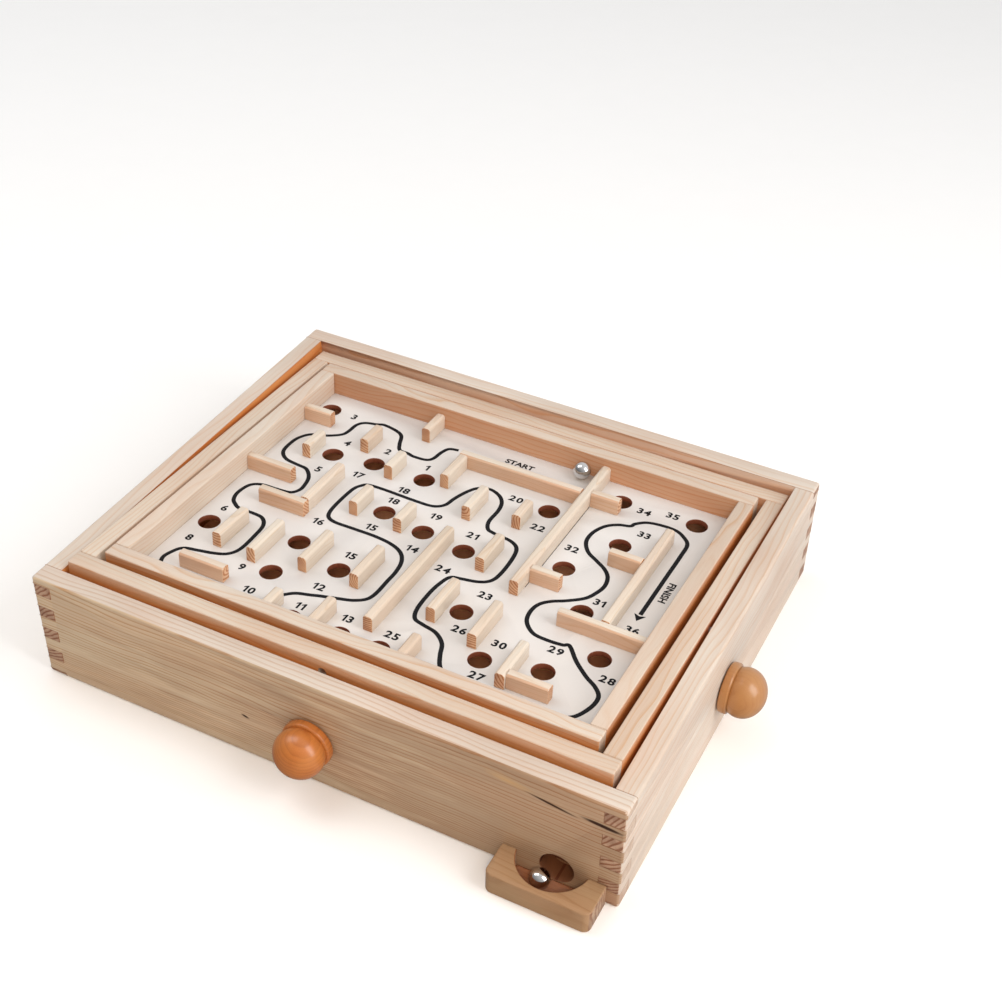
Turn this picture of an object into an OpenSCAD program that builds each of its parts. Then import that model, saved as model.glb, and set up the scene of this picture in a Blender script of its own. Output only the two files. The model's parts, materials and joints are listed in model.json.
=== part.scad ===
// Tilt maze game. A maze board hangs in two nested frames inside a wooden box.
// The outer frame tips front to back, and the inner frame tips side to side.
// Each knob's shaft works one frame. Fallen balls roll down a ramp to the tray.

/* [Box] */
// Width of the box, left to right
box_w = 300; // [296:1:304]
// Depth of the box, front to back
box_d = 245; // [242:1:248]
// Height of the box
box_h = 60; // [60:1:66]
// Thickness of the four box panels
panel_t = 10; // [9:0.5:10.5]
// Thickness of the hardboard base
base_t = 2; // [1.5:0.5:2]

/* [Finger joints] */
// Number of fingers at each corner
finger_n = 4; // [2:1:4]
// Height of one finger
finger_h = 6.5; // [5:0.5:7]
// Distance from one finger to the next
finger_pitch = 13.5; // [12:0.5:13.5]
// Underside of the lowest finger
finger_low = 9; // [7:0.5:9]
// Height of the part finger along the bottom edge
bottom_finger_h = 2.2; // [1:0.1:3]

/* [Tilting frames] */
// Height of the tilt axes above the table
pivot_z = 53; // [52:0.5:54]
// How far the board is tipped up at the front, in degrees
rest_tilt = 2.5; // [0:0.1:4]
// Width of the outer frame
ring_w = 276; // [276:0.5:277]
// Depth of the outer frame
ring_d = 221; // [220:0.5:221]
// Thickness of the outer frame's four strips
ring_t = 9; // [9:0.5:9.5]
// Height of the outer frame's strips
ring_h = 18; // [16:0.5:18]
// Distance from the tilt axes to the top of the outer frame
ring_above = 7; // [6:0.5:8]
// Width of the inner frame
frame_w = 252; // [250:0.5:252]
// Depth of the inner frame
frame_d = 197; // [195:0.5:197]
// Thickness of the inner frame's four strips
frame_t = 8; // [7.5:0.5:8]
// Height of the inner frame's strips
frame_h = 17; // [17:0.5:18]
// Distance from the tilt axes to the top of the inner frame
frame_above = 9; // [8:0.5:9]
// Diameter of the steel pivot pins
pin_d = 4; // [3:0.5:4]

/* [Maze] */
// Depth from the top of the inner frame to the board
board_drop = 13; // [12:0.5:13]
// Thickness of the maze board
board_t = 3; // [2.5:0.5:3]
// Diameter of the holes in the board
hole_d = 11; // [10.5:0.5:12]
// Height of the maze walls
wall_h = 8.5; // [7:0.5:9]
// Thickness of the maze walls
wall_t = 5; // [4:0.1:5]
// Bevel along the top edges of the maze walls
wall_bevel = 1; // [0.3:0.1:1]

/* [Knobs and shafts] */
// Height of both shafts above the table
shaft_z = 27; // [26:0.5:28]
// Distance of the right shaft in front of the middle
right_shaft_forward = 4; // [0:0.5:5]
// Diameter of the steel shafts
shaft_d = 6; // [5:0.5:6]
// Radius of the collar next to the panel
collar_r = 12.4; // [12:0.1:13]
// Thickness of the collar
collar_h = 4.5; // [4:0.1:5]
// Radius of the round knob head
head_r = 12.1; // [11.5:0.1:12.4]
// Distance from the panel to the middle of the head
head_out = 8.8; // [8:0.1:9.5]
// Distance from the panel to the flat end of the head
knob_len = 20; // [18:0.1:20]

/* [Ball tray] */
// Width of the tray
tray_w = 49; // [46:0.5:52]
// Distance that the tray stands out from the panel
tray_d = 18; // [17.5:0.5:20]
// Height of the tray
tray_h = 12; // [11:0.5:14]
// Distance of the tray's middle to the right of the box's middle
tray_x = 119.8; // [117:0.1:120]
// Radius of the round front corners
tray_corner = 3.5; // [2:0.5:5]
// Radius of the round pocket
pocket_r = 16.7; // [16:0.1:17]
// Thickness of the pocket's floor
pocket_floor = 2; // [1.5:0.5:3]
// Diameter of the hole that the balls roll out of
exit_d = 16; // [15:0.5:16]

/* [Balls and ramp] */
// Diameter of the steel balls
ball_d = 9.5; // [9:0.1:10]
// Slope of the ramp from back to front, in degrees
ramp_front = 1.4; // [1:0.1:1.5]
// Slope of the ramp from left to right, in degrees
ramp_right = 1.2; // [1:0.1:1.3]
// Thickness of the ramp
ramp_t = 2; // [1.5:0.5:2.5]

/* [Hidden] */
$fn = 64;
// Gap all round between a pin or shaft and its hole
running_gap = 0.05;
// Gap between pieces that lie loose on each other
loose_gap = 0.3;
// How far a cutter passes a face, and the play of pieces that only lie in the box
skin = 0.5;

pine = "#e6cba6";
hardboard = "#9a7650";
printed = "#dedad4";
honey = "#cf7a35";
steel = "#c8c8cc";

inner_w = box_w - 2 * panel_t;
inner_d = box_d - 2 * panel_t;
ring_bottom = pivot_z + ring_above - ring_h;
frame_bottom = pivot_z + frame_above - frame_h;
board_w = frame_w - 2 * frame_t;
board_d = frame_d - 2 * frame_t;
board_top = pivot_z + frame_above - board_drop;
right_shaft_y = -right_shaft_forward;
front_face = -box_d / 2;

// Depth of the pin and shaft holes that stop inside the wood
blind_depth = 6;
// Gap between a knob's collar and its panel
collar_gap = 0.4;
// Length of shaft that is inside a knob
shaft_grip = 15;
// Width of the bevel around a collar
collar_bevel = 0.8;
// Radius of the groove between collar and head
groove_r = 10.4;

// The post that holds the inner end of the front shaft
post_w = 14;
post_d = 10;
post_top = 34;
post_y = -31;

// Inner end of the front shaft, past its post and short of the right shaft
front_shaft_end = -12;

// Middle of the pocket's circle, just inside the panel
pocket_inset = 2.1;
pocket_x = 119;
pocket_y = front_face + pocket_inset;

// Middle of the hole that the balls roll out of
exit_x = 121;
exit_z = 9.7;

// Where the two balls lie: in the pocket, and against the inner frame at the back
tray_ball_x = 116.3;
tray_ball_y = -128.9;
start_ball_x = 35;
tray_ball_at = [tray_ball_x, tray_ball_y, pocket_floor + ball_d / 2 + loose_gap];
start_ball_at = [start_ball_x, board_d / 2 - ball_d / 2 - loose_gap, board_top + ball_d / 2 + loose_gap];

// Screw eyes under the frames, by which the shafts pull them: ring, wire, shank and places
eye_r = 2;
eye_wire = 0.7;
eye_shank = 9;
ring_eye_x = 133;
ring_eye_y = (ring_d - ring_t) / 2;
frame_eye_x = (frame_w - frame_t) / 2;
frame_eye_y = -18;
eye_drop = 5;

// Triangular guide that turns balls from the corner to the exit hole
guide_x = 129.5;
guide_len = 17.5;
guide_h = 9;
guide_z = 4.8;

// Size of the ramp, and its lowest corner at the front right
ramp_w = inner_w - 2 * skin;
ramp_d = inner_d - 2 * skin;
ramp_x = inner_w / 2 - skin;
ramp_y = -inner_d / 2 + skin;
// Side of the square blocks under the ramp
block = 20;

// Middles of the board's holes, row by row from the back
holes = [
    [-110.5, 74.5], [61.5, 76.5], [102.5, 77],
    [-87, 38.5], [-64, 42], [-34.5, 42.5], [33, 50.5], [75.5, 42.5],
    [-38, 8], [-13.5, 3.5], [11, 0], [59, 12.5],
    [-61.5, -33.5], [-108.5, -41.5], [-33.5, -42.5], [31.5, -40.5], [80, -13], [100.5, -38.5],
    [-60.5, -59.5], [54, -65.5], [82, -58.5],
    [-35, -83], [-9.5, -82], [11, -81.5]
];

// Directions of the maze walls
ALONG_X = 0;
ALONG_Y = 1;
// Edges of the board
edge_x = board_w / 2;
edge_y = board_d / 2;

// Half a wall, where one wall ends against the side of another
half_t = wall_t / 2;
// Middle lines of the walls that others end against
start_lane_y = 65;
start_side_x = -22.5;
start_end_x = 46.5;
finish_lane_x = 95.5;
finish_end_y = -25;
left_cross_y = -13;
left_stem_x = -73;
right_front_x = 69.7;

// Each maze wall's name, then its strips: direction, middle line, start and end
maze_walls = [
    ["start_lane_wall", [[ALONG_X, start_lane_y, start_side_x - half_t, start_end_x - half_t]]],
    ["start_side_wall", [[ALONG_Y, start_side_x, 41.5, start_lane_y - half_t]]],
    ["start_end_wall", [[ALONG_Y, start_end_x, -17.5, edge_y]]],
    ["start_end_stubs", [
        [ALONG_X, 67, start_end_x + half_t, 64.3],
        [ALONG_X, -3, start_end_x + half_t, 64.3]
    ]],
    ["finish_lane_wall", [[ALONG_Y, finish_lane_x, finish_end_y + half_t, 57]]],
    ["finish_lane_stub", [[ALONG_X, 27.5, 76, finish_lane_x - half_t]]],
    ["finish_end_wall", [[ALONG_X, finish_end_y, 73.5, edge_x]]],
    ["middle_wall", [[ALONG_Y, 0.8, -73.5, 5]]],
    ["back_wall", [[ALONG_Y, -51, 73.5, edge_y]]],
    ["left_back_wall", [[ALONG_X, 62, -edge_x, -101.5]]],
    ["left_wall", [[ALONG_X, 8, -edge_x, -91.5]]],
    ["left_cross_wall", [[ALONG_X, left_cross_y, -97, left_stem_x + half_t]]],
    ["left_cross_stem", [[ALONG_Y, left_stem_x, left_cross_y + half_t, 24]]],
    ["left_front_wall", [[ALONG_X, -75, -100, -75]]],
    ["right_front_foot", [[ALONG_X, -74, right_front_x + half_t, 92.8]]],
    ["front_walls", [
        [ALONG_Y, -45, -edge_y, -75.5],
        [ALONG_Y, -20.5, -edge_y, -69],
        [ALONG_Y, 25.7, -edge_y, -72]
    ]],
    ["short_wall_1", [[ALONG_Y, -74, 48.5, 64]]],
    ["short_wall_2", [[ALONG_Y, -97.7, 29.5, 45]]],
    ["short_wall_3", [[ALONG_Y, -51.2, 34, 49.5]]],
    ["short_wall_4", [[ALONG_Y, -0.2, 23, 43.5]]],
    ["short_wall_5", [[ALONG_Y, 24.6, 29, 44]]],
    ["short_wall_6", [[ALONG_Y, -50.5, -1.5, 15]]],
    ["short_wall_7", [[ALONG_Y, -24.7, -2.8, 13]]],
    ["short_wall_8", [[ALONG_Y, 24.7, -10, 12]]],
    ["short_wall_9", [[ALONG_Y, -93.7, -56, -32]]],
    ["short_wall_10", [[ALONG_Y, -73, -57.8, -31.5]]],
    ["short_wall_11", [[ALONG_Y, -48, -52, -27]]],
    ["short_wall_12", [[ALONG_Y, -20.6, -50.3, -25]]],
    ["short_wall_13", [[ALONG_Y, 22.2, -53.8, -29]]],
    ["short_wall_14", [[ALONG_Y, 47, -60.5, -33.5]]],
    ["short_wall_15", [[ALONG_Y, right_front_x, -77.8, -52.5]]]
];

// Tips the frames about the left-right axis to where they rest
module tipped() {
    translate([0, 0, pivot_z])
        rotate([-rest_tilt, 0, 0])
            translate([0, 0, -pivot_z])
                children();
}

// Points a child that stands along +Z along the X axis
module along_x(x, y, z) {
    translate([x, y, z]) rotate([0, 90, 0]) children();
}

// Points a child that stands along +Z along the -Y axis, towards the player
module towards_front(x, y, z) {
    translate([x, y, z]) rotate([90, 0, 0]) children();
}

// The fingers of a side panel at its front end; the same at the back by mirror
module fingers() {
    cube([panel_t, panel_t, bottom_finger_h]);
    for (i = [0 : finger_n - 1])
        translate([0, 0, finger_low + i * finger_pitch])
            cube([panel_t, panel_t, finger_h]);
}

// A front or back panel, its outer face at the front and sockets cut at both ends
module long_panel() {
    difference() {
        translate([-box_w / 2, -box_d / 2, 0]) cube([box_w, panel_t, box_h]);
        translate([-box_w / 2, -box_d / 2, 0]) fingers();
        translate([box_w / 2 - panel_t, -box_d / 2, 0]) fingers();
    }
}

// A side panel with its fingers, at the left
module side_panel() {
    translate([-box_w / 2, -inner_d / 2, 0]) cube([panel_t, inner_d, box_h]);
    translate([-box_w / 2, -box_d / 2, 0]) fingers();
    mirror([0, 1, 0]) translate([-box_w / 2, -box_d / 2, 0]) fingers();
}

module front_panel() {
    color(pine) difference() {
        long_panel();
        towards_front(0, front_face + panel_t + skin, shaft_z)
            cylinder(h = panel_t + 2 * skin, d = shaft_d + 2 * running_gap);
        towards_front(exit_x, front_face + panel_t + skin, exit_z)
            cylinder(h = panel_t + 2 * skin, d = exit_d);
    }
}

module back_panel() {
    color(pine) mirror([0, 1, 0]) long_panel();
}

module left_panel() {
    color(pine) difference() {
        side_panel();
        along_x(-inner_w / 2 - blind_depth, 0, pivot_z)
            cylinder(h = blind_depth + skin, d = pin_d + 2 * running_gap);
        along_x(-inner_w / 2 - blind_depth, right_shaft_y, shaft_z)
            cylinder(h = blind_depth + skin, d = shaft_d + 2 * running_gap);
    }
}

module right_panel() {
    color(pine) difference() {
        mirror([1, 0, 0]) side_panel();
        along_x(inner_w / 2 - skin, 0, pivot_z)
            cylinder(h = blind_depth + skin, d = pin_d + 2 * running_gap);
        along_x(inner_w / 2 - skin, right_shaft_y, shaft_z)
            cylinder(h = panel_t + 2 * skin, d = shaft_d + 2 * running_gap);
    }
}

module base_panel() {
    color(hardboard) translate([-inner_w / 2, -inner_d / 2, 0]) cube([inner_w, inner_d, base_t]);
}

module ball_ramp() {
    color(hardboard) difference() {
        translate([ramp_x, ramp_y, base_t])
            rotate([ramp_front, ramp_right, 0])
                translate([-ramp_w, 0, 0])
                    cube([ramp_w, ramp_d, ramp_t]);
        translate([-post_w / 2 - skin, post_y - post_d / 2 - skin, 0])
            cube([post_w + 2 * skin, post_d + 2 * skin, post_top]);
    }
}

// Height of the ramp's underside, taken a little low
function ramp_under(x, y) =
    base_t + (ramp_x - x) * sin(ramp_right) + (y - ramp_y) * sin(ramp_front) - loose_gap;

// A block under the ramp, as tall as the ramp allows at its lower corner
module ramp_block(x, y) {
    translate([x, y, base_t]) cube([block, block, ramp_under(x + block, y) - base_t]);
}

module ramp_blocks() {
    left = -inner_w / 2 + skin;
    right = inner_w / 2 - block - skin;
    back = inner_d / 2 - block - skin;
    color(pine) {
        ramp_block(left, back);
        ramp_block(right, back);
        ramp_block(left, -inner_d / 2 + skin);
    }
}

module corner_guide() {
    x = inner_w / 2 - skin;
    y = -inner_d / 2 + skin;
    color(pine) translate([0, 0, guide_z])
        linear_extrude(guide_h)
            polygon([[guide_x, y], [x, y], [x, y + guide_len]]);
}

// The tray's outline with two round front corners
module tray_outline() {
    translate([-tray_w / 2, -tray_d + tray_corner]) square([tray_w, tray_d - tray_corner]);
    translate([-tray_w / 2 + tray_corner, -tray_d]) square([tray_w - 2 * tray_corner, tray_d]);
    for (side = [-1, 1])
        translate([side * (tray_w / 2 - tray_corner), -tray_d + tray_corner]) circle(r = tray_corner);
}

module ball_tray() {
    color(pine) difference() {
        translate([tray_x, front_face, 0]) linear_extrude(tray_h) tray_outline();
        translate([pocket_x, pocket_y, pocket_floor]) cylinder(h = tray_h, r = pocket_r);
    }
}

module shaft_post() {
    color(pine) difference() {
        translate([-post_w / 2, post_y - post_d / 2, base_t]) cube([post_w, post_d, post_top - base_t]);
        towards_front(0, post_y + post_d / 2 + skin, shaft_z)
            cylinder(h = post_d + 2 * skin, d = shaft_d + 2 * running_gap);
    }
}

// A screw eye, its shank up in the wood and its ring below the strip
module screw_eye(x, y, bottom) {
    translate([x, y, bottom - eye_drop + eye_r + eye_wire]) cylinder(h = eye_shank, r = eye_wire);
    translate([x, y, bottom - eye_drop])
        rotate([90, 0, 0])
            rotate_extrude($fn = 32) translate([eye_r, 0]) circle(r = eye_wire, $fn = 16);
}

// The hole that a screw eye's shank fills
module eye_hole(x, y, bottom) {
    translate([x, y, bottom - skin])
        cylinder(h = eye_shank - eye_drop + eye_r + eye_wire + skin, r = eye_wire + running_gap);
}

// A strip of the outer frame that runs the whole width, at the front
module ring_strip() {
    translate([-ring_w / 2, -ring_d / 2, ring_bottom]) cube([ring_w, ring_t, ring_h]);
}

module ring_front() {
    color(pine) tipped() difference() {
        ring_strip();
        towards_front(0, -ring_d / 2 + ring_t + skin, pivot_z)
            cylinder(h = ring_t + 2 * skin, d = pin_d + 2 * running_gap);
        eye_hole(ring_eye_x, -ring_eye_y, ring_bottom);
    }
}

module ring_back() {
    color(pine) tipped() difference() {
        mirror([0, 1, 0]) ring_strip();
        towards_front(0, ring_d / 2 + skin, pivot_z)
            cylinder(h = ring_t + 2 * skin, d = pin_d + 2 * running_gap);
        eye_hole(ring_eye_x, ring_eye_y, ring_bottom);
    }
}

// A side strip of the outer frame, at the left, with the hole for its pin
module ring_side() {
    difference() {
        translate([-ring_w / 2, -ring_d / 2 + ring_t, ring_bottom])
            cube([ring_t, ring_d - 2 * ring_t, ring_h]);
        along_x(-ring_w / 2 - skin, 0, pivot_z)
            cylinder(h = blind_depth + skin, d = pin_d + 2 * running_gap);
    }
}

module ring_left() {
    color(pine) tipped() ring_side();
}

module ring_right() {
    color(pine) tipped() mirror([1, 0, 0]) ring_side();
}

module ring_pins() {
    reach = inner_w / 2 + blind_depth - skin;
    root = ring_w / 2 - blind_depth;
    color(steel) tipped() {
        along_x(root, 0, pivot_z) cylinder(h = reach - root, d = pin_d);
        along_x(-reach, 0, pivot_z) cylinder(h = reach - root, d = pin_d);
    }
}

module ring_eyes() {
    color(steel) tipped() {
        screw_eye(ring_eye_x, -ring_eye_y, ring_bottom);
        screw_eye(ring_eye_x, ring_eye_y, ring_bottom);
    }
}

// A strip of the inner frame that runs the whole width, at the front
module frame_strip() {
    difference() {
        translate([-frame_w / 2, -frame_d / 2, frame_bottom]) cube([frame_w, frame_t, frame_h]);
        towards_front(0, -frame_d / 2 + blind_depth, pivot_z)
            cylinder(h = blind_depth + skin, d = pin_d + 2 * running_gap);
    }
}

module frame_front() {
    color(pine) tipped() frame_strip();
}

module frame_back() {
    color(pine) tipped() mirror([0, 1, 0]) frame_strip();
}

// A side strip of the inner frame, at the left, with the hole for its screw eye
module frame_side() {
    difference() {
        translate([-frame_w / 2, -board_d / 2, frame_bottom]) cube([frame_t, board_d, frame_h]);
        eye_hole(-frame_eye_x, frame_eye_y, frame_bottom);
    }
}

module frame_left() {
    color(pine) tipped() frame_side();
}

module frame_right() {
    color(pine) tipped() mirror([1, 0, 0]) frame_side();
}

module frame_pins() {
    reach = ring_d / 2 - 2 * skin;
    root = frame_d / 2 - blind_depth;
    color(steel) tipped() {
        towards_front(0, -root, pivot_z) cylinder(h = reach - root, d = pin_d);
        towards_front(0, reach, pivot_z) cylinder(h = reach - root, d = pin_d);
    }
}

module frame_eyes() {
    color(steel) tipped() {
        screw_eye(frame_eye_x, frame_eye_y, frame_bottom);
        screw_eye(-frame_eye_x, frame_eye_y, frame_bottom);
    }
}

module maze_board() {
    color(printed) tipped() difference() {
        translate([-board_w / 2, -board_d / 2, board_top - board_t]) cube([board_w, board_d, board_t]);
        for (hole = holes)
            translate([hole[0], hole[1], board_top - board_t - skin])
                cylinder(h = board_t + 2 * skin, d = hole_d);
    }
}

// The section of a maze wall, with bevelled top edges
module wall_section() {
    half = wall_t / 2;
    polygon([
        [-half, 0], [half, 0], [half, wall_h - wall_bevel], [half - wall_bevel, wall_h],
        [wall_bevel - half, wall_h], [-half, wall_h - wall_bevel]
    ]);
}

// One strip of maze wall that stands on the board
module wall_strip(direction, line, from, to) {
    length = to - from;
    if (direction == ALONG_X)
        translate([from, line, board_top]) rotate([90, 0, 90]) linear_extrude(length) wall_section();
    else
        translate([line, to, board_top]) rotate([90, 0, 0]) linear_extrude(length) wall_section();
}

module maze_wall(strips) {
    color(pine) tipped()
        for (strip = strips) wall_strip(strip[0], strip[1], strip[2], strip[3]);
}

// A turned knob that stands along +Z on its collar, bored for its shaft
module knob() {
    difference() {
        union() {
            cylinder(h = collar_h - collar_bevel, r = collar_r);
            translate([0, 0, collar_h - collar_bevel])
                cylinder(h = collar_bevel, r1 = collar_r, r2 = collar_r - collar_bevel);
            cylinder(h = head_out, r = groove_r);
            intersection() {
                translate([0, 0, head_out]) sphere(r = head_r);
                translate([0, 0, collar_h]) cylinder(h = knob_len - collar_gap - collar_h, r = collar_r);
            }
        }
        translate([0, 0, -skin]) cylinder(h = shaft_grip + skin, d = shaft_d + 2 * running_gap);
    }
}

module front_knob() {
    color(honey) towards_front(0, front_face - collar_gap, shaft_z) knob();
}

module front_shaft() {
    length = front_shaft_end - front_face + collar_gap + shaft_grip;
    color(steel) towards_front(0, front_shaft_end, shaft_z) cylinder(h = length, d = shaft_d);
}

module right_knob() {
    color(honey) along_x(box_w / 2 + collar_gap, right_shaft_y, shaft_z) knob();
}

module right_shaft() {
    from = -inner_w / 2 - blind_depth + skin;
    to = box_w / 2 + collar_gap + shaft_grip;
    color(steel) along_x(from, right_shaft_y, shaft_z) cylinder(h = to - from, d = shaft_d);
}

module start_ball() {
    color(steel) tipped() translate(start_ball_at) sphere(d = ball_d);
}

module tray_ball() {
    color(steel) translate(tray_ball_at) sphere(d = ball_d);
}

front_panel();
back_panel();
left_panel();
right_panel();
base_panel();
ball_ramp();
ramp_blocks();
corner_guide();
ball_tray();
shaft_post();
ring_front();
ring_back();
ring_left();
ring_right();
ring_pins();
ring_eyes();
frame_front();
frame_back();
frame_left();
frame_right();
frame_pins();
frame_eyes();
maze_board();
front_knob();
front_shaft();
right_knob();
right_shaft();
start_ball();
tray_ball();
for (wall = maze_walls)
    maze_wall(wall[1]);
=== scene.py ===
"""Tilt maze game: wood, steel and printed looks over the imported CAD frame. Lengths are in metres."""

import json
import math

import bmesh
import bpy
from mathutils import Matrix, Vector


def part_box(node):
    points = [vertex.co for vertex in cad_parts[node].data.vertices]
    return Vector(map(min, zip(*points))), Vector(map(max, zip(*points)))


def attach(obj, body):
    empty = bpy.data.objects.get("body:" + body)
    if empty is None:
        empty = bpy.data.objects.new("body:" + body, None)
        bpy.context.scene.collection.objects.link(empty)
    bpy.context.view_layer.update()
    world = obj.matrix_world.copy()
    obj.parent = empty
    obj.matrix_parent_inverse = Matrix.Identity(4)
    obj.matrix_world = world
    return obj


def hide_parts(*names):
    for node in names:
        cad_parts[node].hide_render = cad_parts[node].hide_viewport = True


MM = 0.001
PER_MM = (1000, 1000, 1000)

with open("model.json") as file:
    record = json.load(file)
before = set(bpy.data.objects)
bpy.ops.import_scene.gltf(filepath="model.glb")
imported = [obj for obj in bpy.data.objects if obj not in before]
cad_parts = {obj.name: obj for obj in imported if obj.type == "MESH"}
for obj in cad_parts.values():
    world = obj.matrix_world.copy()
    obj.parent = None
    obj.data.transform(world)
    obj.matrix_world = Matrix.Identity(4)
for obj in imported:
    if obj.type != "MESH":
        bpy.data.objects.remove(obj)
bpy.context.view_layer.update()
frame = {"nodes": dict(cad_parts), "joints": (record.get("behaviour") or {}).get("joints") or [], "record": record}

NODE_BODY = {node: body for body, nodes in frame["record"]["behaviour"]["bodies"].items() for node in nodes}
NODE_SLOT = {part["node"]: part["material_slot"] for part in frame["record"]["subparts"]}
JOINTS = {joint["name"]: joint for joint in frame["joints"]}


# The board's own frame: level, before the rest tilt about the left-right axis

def rest_tilt_matrix():
    axis = JOINTS["board_tilt"]["axis"]
    pivot = Vector(JOINTS["board_tilt"]["pos_m"])
    angle = math.atan2(axis[2], axis[1])
    return Matrix.Translation(pivot) @ Matrix.Rotation(angle, 4, "X") @ Matrix.Translation(-pivot)


TILT = rest_tilt_matrix()
LEVEL = Matrix.Identity(4)


def cad_points(node, placed=LEVEL):
    """A node's CAD points, taken back to where they are before `placed` is applied."""
    back = placed.inverted()
    return [back @ v.co for v in frame["nodes"][node].data.vertices]


def extent(points):
    """The low and high corners of the box round the points."""
    low = Vector([min(p[i] for p in points) for i in range(3)])
    high = Vector([max(p[i] for p in points) for i in range(3)])
    return low, high


BOARD_TOP = extent(cad_points("maze_board", TILT))[1].z


# Node trees

class Tree:
    """A material's node tree, with short calls for the nodes that the materials here use."""

    def __init__(self, name):
        self.material = bpy.data.materials.new(name)
        self.material.use_nodes = True
        self.nodes = self.material.node_tree.nodes
        self.links = self.material.node_tree.links
        self.shader = self.nodes["Principled BSDF"]

    def link(self, source, target):
        if isinstance(source, (int, float, tuple)):
            target.default_value = source
        else:
            self.links.new(source, target)

    def attribute(self, name, output="Vector"):
        node = self.nodes.new("ShaderNodeAttribute")
        node.attribute_name = name
        return node.outputs[output]

    def object_mm(self):
        """The point on the object, in millimetres."""
        return self.scaled(self.nodes.new("ShaderNodeTexCoord").outputs["Object"], PER_MM)

    def math(self, operation, a, b=0.0, c=0.0):
        node = self.nodes.new("ShaderNodeMath")
        node.operation = operation
        for value, socket in zip((a, b, c), node.inputs):
            self.link(value, socket)
        return node.outputs[0]

    def scaled(self, vector, scale, offset=(0, 0, 0)):
        node = self.nodes.new("ShaderNodeMapping")
        self.link(vector, node.inputs["Vector"])
        node.inputs["Scale"].default_value = scale
        node.inputs["Location"].default_value = offset
        return node.outputs[0]

    def split(self, vector):
        node = self.nodes.new("ShaderNodeSeparateXYZ")
        self.link(vector, node.inputs[0])
        return node.outputs

    def join(self, x, y, z):
        node = self.nodes.new("ShaderNodeCombineXYZ")
        for value, socket in zip((x, y, z), node.inputs):
            self.link(value, socket)
        return node.outputs[0]

    def length(self, vector):
        node = self.nodes.new("ShaderNodeVectorMath")
        node.operation = "LENGTH"
        self.link(vector, node.inputs[0])
        return node.outputs["Value"]

    def noise(self, vector, detail=3.0, rough=0.5, distortion=0.0):
        node = self.nodes.new("ShaderNodeTexNoise")
        self.link(vector, node.inputs["Vector"])
        node.inputs["Scale"].default_value = 1.0
        node.inputs["Detail"].default_value = detail
        node.inputs["Roughness"].default_value = rough
        node.inputs["Distortion"].default_value = distortion
        return node.outputs["Fac"]

    def ramp(self, value, stops):
        """A grey level read off a line of (position, level) stops."""
        node = self.nodes.new("ShaderNodeValToRGB")
        self.link(value, node.inputs[0])
        elements = node.color_ramp.elements
        while len(elements) < len(stops):
            elements.new(0.5)
        for element, (position, level) in zip(elements, stops):
            element.position = position
            element.color = (level, level, level, 1.0)
        return node.outputs["Color"]

    def between(self, value, low, high, out_low=0.0, out_high=1.0):
        """A value brought from low..high to out_low..out_high, and held inside them."""
        node = self.nodes.new("ShaderNodeMapRange")
        self.link(value, node.inputs["Value"])
        node.inputs["From Min"].default_value = low
        node.inputs["From Max"].default_value = high
        node.inputs["To Min"].default_value = out_low
        node.inputs["To Max"].default_value = out_high
        return node.outputs["Result"]

    def mix(self, factor, a, b, blend="MIX"):
        """Colour a, with b blended over it by the factor."""
        node = self.nodes.new("ShaderNodeMix")
        node.data_type = "RGBA"
        node.blend_type = blend
        self.link(factor, node.inputs["Factor"])
        for colour, name in ((a, "A"), (b, "B")):
            socket = next(s for s in node.inputs if s.name == name and s.type == "RGBA")
            self.link((*colour, 1.0) if isinstance(colour, tuple) else colour, socket)
        return next(s for s in node.outputs if s.type == "RGBA")

    def mark(self, along, ripple, mark):
        """How much of a mark shows, up to its strength. Its middle and half sizes are in millimetres."""
        dx = self.math("SUBTRACT", along[0], mark["x"])
        dz = self.math("SUBTRACT", along[2], self.math("MULTIPLY_ADD", dx, mark.get("slope", 0.0), mark["z"]))
        reach = self.join(self.math("DIVIDE", dx, mark["long"]), self.math("DIVIDE", dz, mark["high"]), 0.0)
        away = self.math("ADD", self.length(reach), self.between(ripple, 0.3, 0.7, -0.3, 0.3))
        return self.between(away, mark.get("core", 0.5), 1.15, mark["strength"], 0.0)

    def bump(self, height, distance, strength=1.0):
        node = self.nodes.new("ShaderNodeBump")
        self.link(height, node.inputs["Height"])
        node.inputs["Distance"].default_value = distance
        node.inputs["Strength"].default_value = strength
        self.links.new(node.outputs[0], self.shader.inputs["Normal"])

    def finish(self, colour, roughness, **sockets):
        """Links the colour and roughness, sets the other sockets, and gives the material."""
        self.link(colour, self.shader.inputs["Base Color"])
        self.link(roughness, self.shader.inputs["Roughness"])
        for name, value in sockets.items():
            self.shader.inputs[name.replace("_", " ")].default_value = value
        return self.material


# Wood. Each piece carries "grain", its own coordinates with X along the fibres, "end", 1 on end grain, its
# share of painted shade at each face corner, a warm darkening that stands in for shade and for light bounced
# off the wood, and "seam", 1 on the lines where two pieces meet, darkened as glue lines and as painted shade
# in the gaps.

# Warm tint of the painted shade, which stands in for shade and for light bounced off the wood
PAINTED_SHADE_TINT = (1.000, 0.470, 0.170)
# Seams are darkened as glue lines and as painted shade in the gaps between the pieces
SEAM_COLOUR = (0.26, 0.11, 0.05)


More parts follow.
